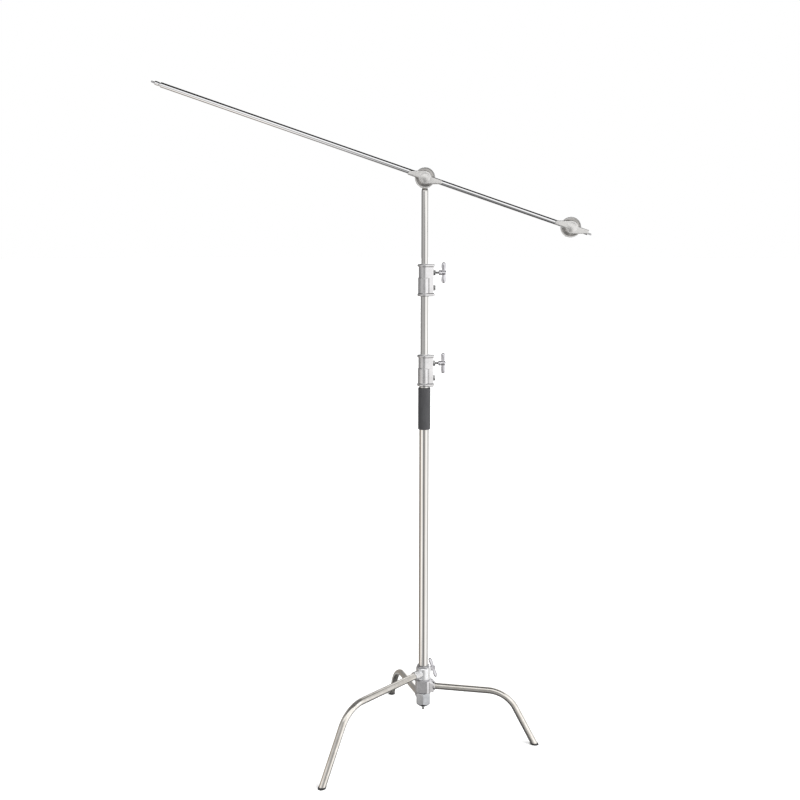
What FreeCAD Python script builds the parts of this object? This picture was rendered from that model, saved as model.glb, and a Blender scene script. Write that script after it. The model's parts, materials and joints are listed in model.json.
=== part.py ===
import FreeCAD, Part
import math
import os

from FreeCAD import Vector

# A three-section grip stand (C-stand) on nesting turtle legs, with a grip head on its
# top pin, a boom arm held in that head and a second head near the arm's end.
# Millimetres. Origin on the column's axis at floor level, +Z up, +X towards the end
# of the arm that carries the second head, +Y towards the back of the heads.

# ---------------------------------------------------------------- driving dimensions
RUN = 0.05                    # radial running clearance
GAP = 0.3                     # clearance between pieces that only face each other

# column
LOWER_R, MIDDLE_R, TOP_R = 16.0, 13.0, 11.0
WALL = 1.5
PLUG_FLANGE = 9.0             # guide's flange below the tube's end
PLUG_DEPTH = 16.0             # guide's length inside the tube
PLUG_BORE_R = 3.0
PLUG_EDGE = 1.5
LOWER_TUBE_Z = 118.0
MIDDLE_TUBE_Z = 422.0
TOP_TUBE_Z = 712.0
TOP_TUBE_END = 1818.0
GRIP_R = 20.0
GRIP_Z = (1057.5, 1194.8)
GRIP_EDGE = 2.0

# collars that clamp one tube on the next
COLLAR_H = 101.5
LOWER_COLLAR_Z = 1199.5
UPPER_COLLAR_Z = 1489.5
COLLAR_R = 19.5
COLLAR_FACE = 28.6            # flat face of the clamp boss
COLLAR_BOSS_W = 26.0
COLLAR_CORNER = 4.0
FLANGE_CORNER = 6.0
FLANGE_LIP = 4.0
TOP_FLANGE_T = 8.0
BOTTOM_FLANGE_T = 9.5
TOP_RIM, BOTTOM_RIM = 1.6, 2.2      # chamfers on the flanges' rims
TUBE_SEAT = 45.0              # depth of the outer tube in its collar
PANEL_R = 21.2
PANEL_TOP = 58.0
PANEL_X = 12.5
PANEL_CORNER = 5.0
SCREW_H = 74.5                # knob screw above the collar's lower face
BOLT_H = 26.5                 # set bolt above the collar's lower face
NUT_AF = 17.0
NUT_T = 6.4
NUT_BEVEL = (1.92, 1.2)       # turned-off corners: inwards, down
SHOE_T = 1.2                  # brass shoe between the screw and the tube
BUSH_LIP = 1.0                # how far a slide bush laps onto the collar's top
LIP_EDGE = 0.5

# knobs
STUD_R = 4.0
WING_LEN = 33.5
WING_R = 7.6
WING_FLAT = 0.62              # wings' thickness against their width
WING_TIP = (3.5, 1.4)         # where the tip's curve starts: inwards, below full width
WING_FULL = 0.62              # widest point, as a share of the length
WING_WAIST = (9.0, 0.84)      # waist by the hub: distance, share of the width
HUB_R = 8.0
KNOB_NECK = 9.5               # knob's distance from the nut it works against
KNOB_BORE = 12.0
HUB_LEN = 24.6
HUB_FOOT = (1.8, 2.2)         # cone at the hub's foot: inwards, up
HUB_RING = (6.5, 9.5)         # thick ring's end and the slimmer part's start
HUB_SLIM = 1.0
HUB_CROWN = (21.0, 3.0)       # crown's start and how far it draws in
HUB_FACE = 0.6
STUD_EDGE = 1.0
WING_SEAT = 16.0              # wings' middle above the hub's start

# legs: heading, foot radius, height of the straight run, start of the tube in its hub,
# end of the hub's socket
LEG_R = 11.0
LEG_WALL = 1.8
LEG_BEND_R = 105.0
LEG_RAKE = 28.4               # lower run's angle from the vertical
LEGS = {
    "big_leg": {"heading": -130.0, "foot": 484.0, "height": 222.0, "start": 20.0, "socket": 49.0},
    "middle_leg": {"heading": -10.0, "foot": 379.0, "height": 177.0, "start": 18.5, "socket": 41.0},
    "small_leg": {"heading": 110.0, "foot": 342.0, "height": 128.0, "start": 18.5, "socket": 44.0},
}
FOOT_T = 6.0
FOOT_R = 11.9
FOOT_EDGE = 0.8
FOOT_STEM = 24.0              # cap's plug in the leg
SOCKET_R = 14.5
SOCKET_EDGE = 2.0
RIVET_R = 2.5
RIVET_BACK = 11.0             # rivet's distance behind the socket's mouth
RIVET_PROUD = 0.6

# hubs, one on top of another
SMALL_HUB_Z = (108.0, 154.5)
MIDDLE_HUB_Z = (156.0, 198.5)
BIG_HUB_Z = (200.0, 243.0)
SMALL_HUB_R = 26.6            # hexagon, centre to corner
SMALL_HUB_TURN = 40.0         # hexagon's first corner from its leg
SMALL_HUB_FOOT = (4.0, 8.0)   # corners turned off at the bottom: inside the flats, up
SMALL_HUB_TOP = (1.5, 5.0)    # and at the top
MIDDLE_HUB_HALF = 24.5
MIDDLE_HUB_CORNER = 7.0
MIDDLE_NECK = (38.0, 19.0, 13.0)    # reach, half width at the hub, half width at the end
NECK_INSET = 3.0              # neck's top and bottom below and above the hub's
NECK_SLOPE = (22.5, 60.0, 18.0)     # its sloping top: from, to, fall
BIG_HUB_R = 24.5
BIG_HUB_FOOT = (2.5, 2.5)     # turned edges: inwards, up
BIG_HUB_TOP = (3.0, 3.5)
BUSH_R = 18.0
BUSH_FLANGE_R = 21.0
BUSH_TOP = 249.0
BUSH_EDGE = 1.5
BUSH_FOOT = 0.2               # bush's foot above the hub's
SLIT_HEADING = 170.0
LOCK_HEADING = 50.0
LOCK_Z = 223.0
LOCK_FACE = 31.0
LOCK_BOSS_R = 9.5
LOCK_WING_TURN = -26.0        # lock knob's wings from the vertical
LOCK_NECK = 4.0
BASE_NUT_AF = 16.0
BASE_NUT_T = 7.0
BASE_BOLT_Z = (89.5, 132.0)
WASHER_R = 22.5
WASHER_TOP = 1.2              # washer's top above the hub under it

# heads
HEAD_Z = 1859.0
DISC_R = 31.75
DISC_TEETH = 40
TOOTH = 1.1
TOOTH_RISE, TOOTH_TOP, TOOTH_FALL = 0.2, 0.55, 0.75     # shares of a tooth's pitch
REAR_DISC_Y = (-25.0, -16.5)
FRONT_DISC_Y = (-33.5, -25.3)
ARM_Y = -45.0
ARM_RISE = 2.0                # arm's axis beside the head's axis
JAW_FRONT = -56.0
JAW_R = 20.4
JAW_EDGE = 2.6
WING_END = 54.0
WING_TOP = 8.5
DOME_R = 16.0
DOME_H = 4.0
EYE_R = 12.5
EYE_T = 10.0
EYE_ROOM = 0.5
HEAD_BOLT_R = 5.0
PIN_R = 8.0
PIN_EDGE = 1.2
PIN_STEP = 1.0                # straight part of the pin below the socket
PIN_FOOT = 30.0               # pin's length inside the tube
PIN_SHOULDER = 2.0
LOCK_DROP = 18.0              # lock screw below the head's axis
LOCK_R = 3.0
LOCK_BOSS_WALL = 3.5
LOCK_HEAD_R = 7.0
LOCK_HEAD_Y = (17.6, 27.0)
LOCK_TEETH, LOCK_TOOTH = 24, 0.7
PIN_TOP = 7.2                 # pin's end below the head's axis
PIN_ROOM = 0.4                # bore above the pin's end
SOCKET_MOUTH = 29.0           # socket's mouth below the head's axis
SOCKET_OUT_R = 15.0
SOCKET_RIM = 1.5
BARREL_R = 15.5
BARREL_FOOT = (24.0, 7.0)     # cone behind the rear disc: radius, length
BARREL_EDGE = 2.0
BODY_BACK = 17.0              # rear body's back face
RING_R = 22.0                 # friction ring's recess
RING_BORE = 8.0
RING_T = 1.2
HEAD_WASHER_R = 10.0
HEAD_WASHER_T = 2.0
HEAD_WASHER_FIT = 0.1
HEAD_KNOB_Y = 19.6
BOLT_END = 36.0
BOLT_EDGE = 1.0
BOLT_ROOM = 0.6               # knob's bore beyond the bolt's end
HEAD_2_ALONG = 481.0          # second head along the arm from the first

# arm
ARM_TILT = 18.9               # the second head's side is down by this many degrees
ARM_R = 7.95
ARM_BORE = 6.0
ARM_EDGE = 0.8
ARM_LEFT, ARM_RIGHT = -861.5, 516.5
SPIGOT_R = 6.1
SPIGOT_NECK_R = 4.7
SPIGOT_Z = (4.5, 18.7)        # spigot's start and end beyond the rod
SPIGOT_EDGE = 1.2
SPIGOT_PLUG = 25.0            # its length inside the rod
TIP_R = 3.15
TIP_END = 30.6
TIP_EDGE = 0.8

TINY = 1e-6
UP = Vector(0, 0, 1)
BACK = Vector(0, 1, 0)
RIGHT = Vector(1, 0, 0)
TILT = math.radians(ARM_TILT)
ALONG = Vector(math.cos(TILT), 0, -math.sin(TILT))
ACROSS = Vector(math.sin(TILT), 0, math.cos(TILT))
HEAD_1 = Vector(0, 0, HEAD_Z)
HEAD_2 = HEAD_1 + ALONG * HEAD_2_ALONG + ACROSS * (2 * ARM_RISE)


# ---------------------------------------------------------------- shape helpers
def rod(start, end, radius):
    """Round bar between two points."""
    axis = end - start
    return Part.makeCylinder(radius, axis.Length, start, axis)


def tube(start, end, outer, inner):
    return rod(start, end, outer).cut(rod(start, end, inner))


def upright(z0, z1, radius):
    return rod(Vector(0, 0, z0), Vector(0, 0, z1), radius)


def sleeve(z0, z1, outer, inner):
    return tube(Vector(0, 0, z0), Vector(0, 0, z1), outer, inner)


def block(x, y, z):
    """Box from (low, high) pairs."""
    return Part.makeBox(x[1] - x[0], y[1] - y[0], z[1] - z[0], Vector(x[0], y[0], z[0]))


def flat_face(points):
    """Flat face inside a closed outline of points."""
    return Part.Face(Part.makePolygon(points + [points[0]]))


def prism(points, direction):
    return flat_face(points).extrude(direction)


def ngon_prism(sides, corner_r, z0, z1, turn=0.0):
    points = []
    for i in range(sides):
        angle = math.radians(turn + 360.0 * i / sides)
        points.append(Vector(corner_r * math.cos(angle), corner_r * math.sin(angle), z0))
    return prism(points, Vector(0, 0, z1 - z0))


def toothed_disc(radius, depth, teeth, z0, z1):
    """Disc with trapezoidal teeth round its rim."""
    points = []
    pitch = 2 * math.pi / teeth
    for i in range(teeth):
        root = radius - depth
        for share, r in ((0.0, root), (TOOTH_RISE, radius), (TOOTH_TOP, radius), (TOOTH_FALL, root)):
            angle = (i + share) * pitch
            points.append(Vector(r * math.cos(angle), r * math.sin(angle), z0))
    return prism(points, Vector(0, 0, z1 - z0))


def turned(profile):
    """Solid of revolution about Z from (radius, height) points."""
    points = [Vector(r, 0, z) for r, z in profile]
    return flat_face(points).revolve(Vector(0, 0, 0), UP, 360)


def placed(shape, origin, z_axis, x_axis):
    """Move a shape from its own frame so that its Z and X follow the given directions."""
    z = Vector(z_axis).normalize()
    x = Vector(x_axis).normalize()
    y = z.cross(x)
    matrix = FreeCAD.Matrix(
        x.x, y.x, z.x, origin.x,
        x.y, y.y, z.y, origin.y,
        x.z, y.z, z.z, origin.z,
        0, 0, 0, 1)
    result = shape.copy()
    result.Placement = FreeCAD.Placement(matrix).multiply(result.Placement)
    return result


def heading(degrees):
    return Vector(math.cos(math.radians(degrees)), math.sin(math.radians(degrees)), 0)


def hex_nut(across_flats, thickness):
    """Hexagon along Z with its outer corners turned off."""
    corner = across_flats / math.sqrt(3)
    body = ngon_prism(6, corner, 0, thickness, 30.0)
    inwards, down = NUT_BEVEL
    clear = corner + GAP
    rim = turned([(0, 0), (clear, 0), (clear, thickness - down), (corner, thickness - down),
                  (corner - inwards, thickness), (0, thickness)])
    return body.common(rim)


# ---------------------------------------------------------------- knobs
def wing_bar():
    """Two rounded wings on one line along X, flattened across it."""
    half = [Vector(WING_WAIST[0], 0, WING_R * WING_WAIST[1]), Vector(WING_LEN * WING_FULL, 0, WING_R),
            Vector(WING_LEN - WING_TIP[0], 0, WING_R - WING_TIP[1]), Vector(WING_LEN, 0, 0)]
    other = [Vector(-point.x, 0, point.z) for point in reversed(half)]
    curve = Part.BSplineCurve()
    curve.interpolate(other + half)
    edge = curve.toShape()
    axis = Part.LineSegment(Vector(WING_LEN, 0, 0), Vector(-WING_LEN, 0, 0)).toShape()
    face = Part.Face(Part.Wire([edge, axis]))
    bar = face.revolve(Vector(0, 0, 0), RIGHT, 360)
    squash = FreeCAD.Matrix()
    squash.scale(1.0, WING_FLAT, 1.0)
    return bar.transformGeometry(squash)


def knob(neck, bore_r, bore_depth):
    """Cast wing knob: its hub starts at height neck, with a bore for its screw."""
    slim = HUB_R - HUB_SLIM
    hub = turned([(0, neck), (HUB_R - HUB_FOOT[0], neck), (HUB_R, neck + HUB_FOOT[1]),
                  (HUB_R, neck + HUB_RING[0]), (slim, neck + HUB_RING[1]), (slim, neck + HUB_CROWN[0]),
                  (HUB_R - HUB_CROWN[1], neck + HUB_LEN - HUB_FACE), (0, neck + HUB_LEN)])
    wings = wing_bar()
    wings.translate(Vector(0, 0, neck + WING_SEAT))
    return hub.fuse(wings).cut(rod(Vector(0, 0, neck), Vector(0, 0, neck + bore_depth), bore_r))


def threaded_stud(z0, z1):
    """Plain-shank stand-in for a threaded stud with chamfered tip."""
    return turned([(0, z0), (STUD_R - STUD_EDGE, z0), (STUD_R, z0 + STUD_EDGE), (STUD_R, z1), (0, z1)])


# ---------------------------------------------------------------- collars
def collar_outline(radius, face, width, z0, z1, corner):
    """Round body whose sides run on at a tangent to a flat boss face."""
    end = Vector(face, width / 2, z0)
    turn = math.atan2(width / 2, face) + math.acos(radius / math.hypot(face, width / 2))
    touch = Vector(radius * math.cos(turn), radius * math.sin(turn), z0)
    mirrored = [Vector(point.x, -point.y, z0) for point in (end, touch)]
    outline = [touch, end, *mirrored]
    edges = [Part.LineSegment(a, b).toShape() for a, b in zip(outline, outline[1:])]
    edges.append(Part.Arc(mirrored[1], Vector(-radius, 0, z0), touch).toShape())
    body = Part.Face(Part.Wire(edges)).extrude(Vector(0, 0, z1 - z0))
    corners = [e for e in body.Edges
               if abs(e.BoundBox.XMin - face) < TINY and e.BoundBox.ZLength > z1 - z0 - TINY]
    return body.makeFillet(corner, corners)


def collar_casting(seat_r):
    """Clamp collar from its lower face at z 0, bored for a seated tube and its bush."""
    body = collar_outline(COLLAR_R, COLLAR_FACE, COLLAR_BOSS_W, 0, COLLAR_H, COLLAR_CORNER)
    wide = (COLLAR_R + FLANGE_LIP, COLLAR_FACE + FLANGE_LIP, COLLAR_BOSS_W + 2 * FLANGE_LIP)
    low = collar_outline(*wide, 0, BOTTOM_FLANGE_T, FLANGE_CORNER)
    high = collar_outline(*wide, COLLAR_H - TOP_FLANGE_T, COLLAR_H, FLANGE_CORNER)
    low = chamfered_rims(low, BOTTOM_RIM)
    high = chamfered_rims(high, TOP_RIM)
    panel = upright(BOTTOM_FLANGE_T - 1, PANEL_TOP, PANEL_R)
    window = block((-30, PANEL_X), (-30, 30), (0, PANEL_TOP))
    corner = [e for e in window.Edges
              if e.BoundBox.XMin > PANEL_X - TINY and e.BoundBox.ZMin > PANEL_TOP - TINY]
    panel = panel.common(window.makeFillet(PANEL_CORNER, corner))
    casting = body.fuse([low, high, panel])
    casting = casting.cut(upright(-1, COLLAR_H + 1, seat_r))
    for height, radius in ((SCREW_H, STUD_R + RUN), (BOLT_H, STUD_R)):
        hole = rod(Vector(0, 0, height), Vector(COLLAR_FACE + 1, 0, height), radius)
        casting = casting.cut(hole)
    return casting


def chamfered_rims(plate, size):
    """Chamfer a flat plate's outer edges, top and bottom."""
    box = plate.BoundBox
    rims = [e for e in plate.Edges
            if e.BoundBox.ZLength < TINY and min(abs(e.BoundBox.ZMin - box.ZMin),
                                                 abs(e.BoundBox.ZMax - box.ZMax)) < TINY]
    return plate.makeChamfer(size, rims)


def collar_bush(bore_r, outer_r):
    """Nylon guide above the seated tube, with a lip on the collar's top face."""
    body = sleeve(TUBE_SEAT, COLLAR_H, outer_r, bore_r + RUN)
    lip = turned([(bore_r + RUN, COLLAR_H), (outer_r + BUSH_LIP, COLLAR_H),
                  (outer_r + BUSH_LIP - LIP_EDGE, COLLAR_H + BUSH_LIP), (bore_r + RUN, COLLAR_H + BUSH_LIP)])
    window = rod(Vector(0, 0, SCREW_H), Vector(COLLAR_FACE, 0, SCREW_H), STUD_R + RUN)
    return body.fuse(lip).cut(window)


def make_collar(prefix, z, seat_r, slide_r):
    """Collar at height z that grips a tube of radius seat_r and lets slide_r slide."""
    tip = slide_r + GAP + SHOE_T
    shoe = rod(Vector(slide_r + GAP, 0, SCREW_H), Vector(tip, 0, SCREW_H), STUD_R - GAP)
    shoe = shoe.cut(upright(0, COLLAR_H, slide_r + GAP))
    nut = hex_nut(NUT_AF, NUT_T).cut(upright(-1, NUT_T + 1, STUD_R + RUN))
    bolt = hex_nut(NUT_AF, NUT_T).fuse(upright(seat_r - COLLAR_FACE, 0, STUD_R))
    bolt = placed(bolt, Vector(COLLAR_FACE, 0, BOLT_H), RIGHT, UP)
    bolt = bolt.cut(upright(0, COLLAR_H, seat_r))
    knob_x = COLLAR_FACE + NUT_T
    stud = threaded_stud(tip + GAP, knob_x + KNOB_NECK + KNOB_BORE)
    pieces = {
        prefix: collar_casting(seat_r),
        prefix + "_bush": collar_bush(slide_r, seat_r),
        prefix + "_shoe": shoe,
        prefix + "_nut": placed(nut, Vector(COLLAR_FACE, 0, SCREW_H), RIGHT, UP),
        prefix + "_bolt": bolt,
        prefix + "_stud": placed(stud, Vector(0, 0, SCREW_H), RIGHT, UP),
        prefix + "_handle": placed(knob(KNOB_NECK, STUD_R, KNOB_BORE), Vector(knob_x, 0, SCREW_H),
                                   RIGHT, UP),
    }
    for shape in pieces.values():
        shape.translate(Vector(0, 0, z))
    return pieces


# ---------------------------------------------------------------- column
def plug(z, inner_r, outer_r):
    """Guide at a tube's lower end: a plug in its bore and a flange below it."""
    low = z - PLUG_FLANGE
    return turned([(PLUG_BORE_R, low), (outer_r - PLUG_EDGE, low), (outer_r, low + PLUG_EDGE), (outer_r, z),
                   (inner_r, z), (inner_r, z + PLUG_DEPTH), (PLUG_BORE_R, z + PLUG_DEPTH)])


def make_column():
    z0, z1 = GRIP_Z
    grip = turned([(LOWER_R, z0), (GRIP_R - GRIP_EDGE, z0), (GRIP_R, z0 + GRIP_EDGE),
                   (GRIP_R, z1 - GRIP_EDGE), (GRIP_R - GRIP_EDGE, z1), (LOWER_R, z1)])
    bore = TOP_R - WALL
    pin_end = HEAD_Z - PIN_TOP
    shoulder = HEAD_Z - SOCKET_MOUTH - GAP
    pin_start = TOP_TUBE_END - PIN_FOOT
    pin = turned([(0, pin_start), (bore, pin_start), (bore, TOP_TUBE_END), (TOP_R, TOP_TUBE_END),
                  (TOP_R, TOP_TUBE_END + PIN_SHOULDER), (PIN_R, shoulder - PIN_STEP),
                  (PIN_R, pin_end - PIN_EDGE), (PIN_R - PIN_EDGE, pin_end), (0, pin_end)])
    lower_top = LOWER_COLLAR_Z + TUBE_SEAT
    middle_top = UPPER_COLLAR_Z + TUBE_SEAT
    return {
        "lower_tube": sleeve(LOWER_TUBE_Z, lower_top, LOWER_R, LOWER_R - WALL),
        "grip_sleeve": grip,
        "middle_tube": sleeve(MIDDLE_TUBE_Z, middle_top, MIDDLE_R, MIDDLE_R - WALL),
        "middle_tube_guide": plug(MIDDLE_TUBE_Z, MIDDLE_R - WALL, LOWER_R - WALL - RUN),
        "top_tube": sleeve(TOP_TUBE_Z, TOP_TUBE_END, TOP_R, TOP_R - WALL),
        "top_tube_guide": plug(TOP_TUBE_Z, TOP_R - WALL, MIDDLE_R - WALL - RUN),
        "top_pin": pin,
    }


# ---------------------------------------------------------------- legs and hubs
def leg_run(radius, leg, overrun=30.0):
    """Bent bar of a leg in its own plane: +X outwards, from its start past the floor."""
    rake = math.radians(LEG_RAKE)
    height = leg["height"]
    corner = leg["foot"] - height * math.tan(rake)
    bend = math.pi / 2 - rake
    tangent = LEG_BEND_R * math.tan(bend / 2)
    centre = Vector(corner - tangent, 0, height - LEG_BEND_R)
    first = rod(Vector(leg["start"], 0, height), Vector(corner - tangent, 0, height), radius)
    disc = Part.Face(Part.Wire(Part.makeCircle(radius, Vector(centre.x, 0, height), RIGHT)))
    arc = disc.revolve(centre, BACK, math.degrees(bend))
    down = Vector(math.sin(rake), 0, -math.cos(rake))
    bend_end = Vector(corner, 0, height) + down * tangent
    foot = Vector(leg["foot"], 0, 0) + down * overrun
    return first.fuse([arc, rod(bend_end, foot, radius)]).removeSplitter()


def foot_cap(leg):
    """Plastic glide: a flat-soled shoe at the floor and a plug up the leg's bore."""
    rake = math.radians(LEG_RAKE)
    down = Vector(math.sin(rake), 0, -math.cos(rake))
    foot = Vector(leg["foot"], 0, 0)
    around = 60.0
    slab = block((foot.x - around, foot.x + around), (-around, around), (0, FOOT_T))
    sole = rod(foot - down * around, foot + down * around, FOOT_R).common(slab)
    rims = [e for e in sole.Edges if e.BoundBox.ZMin > FOOT_T - TINY]
    sole = sole.makeChamfer(FOOT_EDGE, rims)
    above = block((foot.x - around, foot.x + around), (-around, around), (FOOT_T, around))
    stem = rod(foot - down * FOOT_STEM, foot, LEG_R - LEG_WALL).common(above)
    return sole.fuse(stem)


def turned_to(shape, degrees):
    shape.rotate(Vector(0, 0, 0), UP, degrees)
    return shape


def socket_rivet(leg):
    """Rivet down through the hub's socket and the leg in it."""
    x = leg["socket"] - RIVET_BACK
    reach = SOCKET_R + RIVET_PROUD
    return rod(Vector(x, 0, leg["height"] - reach), Vector(x, 0, leg["height"] + reach), RIVET_R)


def make_leg(name):
    """A leg, its foot cap and the rivet through its socket."""
    leg = LEGS[name]
    bar = leg_run(LEG_R, leg).cut(leg_run(LEG_R - LEG_WALL, leg))
    floor_cut = block((0, 700), (-50, 50), (-60, FOOT_T))
    bar = bar.cut(floor_cut)
    rivet = socket_rivet(leg)
    pieces = {name: bar.cut(rivet), name + "_foot": foot_cap(leg), name + "_rivet": rivet}
    return {key: turned_to(shape, leg["heading"]) for key, shape in pieces.items()}


def socket_boss(leg):
    """Round socket from the hub's centre out, its mouth chamfered."""
    end = leg["socket"]
    boss = turned([(0, 0), (SOCKET_R, 0), (SOCKET_R, end - SOCKET_EDGE), (SOCKET_R - SOCKET_EDGE, end),
                   (0, end)])
    return placed(boss, Vector(0, 0, leg["height"]), RIGHT, UP)


def drilled(hub, leg, bore_r, bore_z):
    """Cut the column's bore from bore_z up, the leg's seat and the rivet's hole."""
    height = leg["height"]
    seat = rod(Vector(leg["start"], 0, height), Vector(leg["socket"] + 1, 0, height), LEG_R)
    return hub.cut([upright(bore_z, BUSH_TOP, bore_r), seat, socket_rivet(leg)])


def make_small_hub():
    leg = LEGS["small_leg"]
    z0, z1 = SMALL_HUB_Z
    core = ngon_prism(6, SMALL_HUB_R, z0, z1, SMALL_HUB_TURN)
    flat = SMALL_HUB_R * math.cos(math.radians(30))
    waist = turned([(0, z0), (flat - SMALL_HUB_FOOT[0], z0), (SMALL_HUB_R, z0 + SMALL_HUB_FOOT[1]),
                    (SMALL_HUB_R, z1 - SMALL_HUB_TOP[1]), (flat - SMALL_HUB_TOP[0], z1), (0, z1)])
    hub = core.common(waist).fuse(socket_boss(leg))
    hub = hub.common(block((-60, 60), (-60, 60), (z0, z1))).cut(upright(z0, z1, STUD_R))
    return turned_to(drilled(hub, leg, LOWER_R, LOWER_TUBE_Z), leg["heading"])


def make_middle_hub():
    leg = LEGS["middle_leg"]
    z0, z1 = MIDDLE_HUB_Z
    half = MIDDLE_HUB_HALF
    core = block((-half, half), (-half, half), (z0, z1))
    uprights = [e for e in core.Edges if e.BoundBox.ZLength > z1 - z0 - TINY]
    core = core.makeChamfer(MIDDLE_HUB_CORNER, uprights)
    reach, wide, thin = MIDDLE_NECK
    low, high = z0 + NECK_INSET, z1 - NECK_INSET
    neck = prism([Vector(0, -wide, low), Vector(half, -wide, low), Vector(reach, -thin, low),
                  Vector(reach, thin, low), Vector(half, wide, low), Vector(0, wide, low)],
                 Vector(0, 0, high - low))
    near, far, fall = NECK_SLOPE
    slope = prism([Vector(0, -wide, high), Vector(near, -wide, high), Vector(far, -wide, high - fall),
                   Vector(far, -wide, z0), Vector(0, -wide, z0)], Vector(0, 2 * wide, 0))
    hub = core.fuse([neck.common(slope), socket_boss(leg)])
    hub = hub.common(block((-60, 60), (-60, 60), (z0, z1)))
    return turned_to(drilled(hub, leg, LOWER_R + RUN, z0 - 1), leg["heading"])


def make_big_hub():
    leg = LEGS["big_leg"]
    z0, z1 = BIG_HUB_Z
    core = turned([(0, z0), (BIG_HUB_R - BIG_HUB_FOOT[0], z0), (BIG_HUB_R, z0 + BIG_HUB_FOOT[1]),
                   (BIG_HUB_R, z1 - BIG_HUB_TOP[1]), (BIG_HUB_R - BIG_HUB_TOP[0], z1), (0, z1)])
    centre = Vector(0, 0, LOCK_Z)
    face = centre + heading(LOCK_HEADING) * LOCK_FACE
    hub = turned_to(core.fuse(socket_boss(leg)), leg["heading"]).fuse(rod(centre, face, LOCK_BOSS_R))
    hub = turned_to(drilled(turned_to(hub, -leg["heading"]), leg, BUSH_R, z0 - 1), leg["heading"])
    return hub.cut(rod(centre, face + heading(LOCK_HEADING), STUD_R + RUN))


def make_base():
    out = heading(LOCK_HEADING)
    z0 = BIG_HUB_Z[0] + BUSH_FOOT
    bush = turned([(LOWER_R + RUN, z0), (BUSH_R - RUN, z0), (BUSH_R - RUN, BIG_HUB_Z[1] + GAP),
                   (BUSH_FLANGE_R, BIG_HUB_Z[1] + GAP), (BUSH_FLANGE_R, BUSH_TOP - BUSH_EDGE),
                   (BUSH_FLANGE_R - BUSH_EDGE, BUSH_TOP), (LOWER_R + RUN, BUSH_TOP)])
    slit = turned_to(block((0, 40), (-1, 1), (z0 - 1, BUSH_TOP + 1)), SLIT_HEADING)
    washers = [sleeve(hub[1] + GAP, hub[1] + WASHER_TOP, WASHER_R, LOWER_R)
               for hub in (SMALL_HUB_Z, MIDDLE_HUB_Z)]
    face = out * LOCK_FACE + Vector(0, 0, LOCK_Z)
    turn = math.radians(LOCK_WING_TURN)
    wing_dir = UP * math.cos(turn) + out.cross(UP) * math.sin(turn)
    stud = threaded_stud(BUSH_R + GAP, LOCK_FACE + LOCK_NECK + KNOB_BORE)
    nut = hex_nut(BASE_NUT_AF, BASE_NUT_T).cut(upright(-1, BASE_NUT_T + 1, STUD_R))
    nut.translate(Vector(0, 0, SMALL_HUB_Z[0] - BASE_NUT_T))
    base_plug = sleeve(LOWER_TUBE_Z, LOWER_TUBE_Z + PLUG_DEPTH, LOWER_R - WALL, STUD_R)
    pieces = {
        "small_leg_hub": make_small_hub(),
        "middle_leg_hub": make_middle_hub(),
        "big_leg_hub": make_big_hub(),
        "slide_bush": bush.cut(slit),
        "hub_washers": Part.makeCompound(washers),
        "leg_lock_handle": placed(knob(LOCK_NECK, STUD_R, KNOB_BORE), face, out, wing_dir),
        "leg_lock_stud": placed(stud, Vector(0, 0, LOCK_Z), out, UP),
        "base_plug": base_plug,
        "base_bolt": threaded_stud(*BASE_BOLT_Z),
        "base_nut": nut,
    }
    for name in LEGS:
        pieces.update(make_leg(name))
    return pieces


# ---------------------------------------------------------------- heads
def on_back(shape, centre, side):
    """Place a shape whose Z runs back along the head's axis, its X along side."""
    return placed(shape, centre, BACK, side)


def head_casting():
    """Rear body in the head's frame: Z back along the bolt, X up, socket opening down."""
    back0, back1 = REAR_DISC_Y
    disc = toothed_disc(DISC_R, TOOTH, DISC_TEETH, back0, back1)
    foot_r, foot_len = BARREL_FOOT
    barrel = turned([(0, back1), (foot_r, back1), (BARREL_R, back1 + foot_len),
                     (BARREL_R, BODY_BACK - BARREL_EDGE), (BARREL_R - BARREL_EDGE, BODY_BACK),
                     (0, BODY_BACK)])
    socket = rod(Vector(-SOCKET_MOUTH, 0, 0), Vector(0, 0, 0), SOCKET_OUT_R)
    mouth = [e for e in socket.Edges if e.BoundBox.XMax < -SOCKET_MOUTH + TINY]
    socket = socket.makeChamfer(SOCKET_RIM, mouth)
    lock_boss = rod(Vector(-LOCK_DROP, 0, 0), Vector(-LOCK_DROP, 0, BODY_BACK), LOCK_R + LOCK_BOSS_WALL)
    body = disc.fuse([barrel, socket, lock_boss])
    pin_bore = rod(Vector(-SOCKET_MOUTH - 1, 0, 0), Vector(-PIN_TOP + PIN_ROOM, 0, 0), PIN_R + RUN)
    bolt_bore = upright(back0 - 1, BODY_BACK + 1, HEAD_BOLT_R + RUN)
    recess = sleeve(back0 - 1, back0 + RING_T, RING_R, RING_BORE)
    lock_bore = rod(Vector(-LOCK_DROP, 0, 0), Vector(-LOCK_DROP, 0, BODY_BACK + 1), LOCK_R + RUN)
    return body.cut([pin_bore, bolt_bore, recess, lock_bore])


def across_head(half, radius):
    """Bar on the arm's axis, in a head's frame."""
    return rod(Vector(-half, -ARM_RISE, ARM_Y), Vector(half, -ARM_RISE, ARM_Y), radius)


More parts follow.
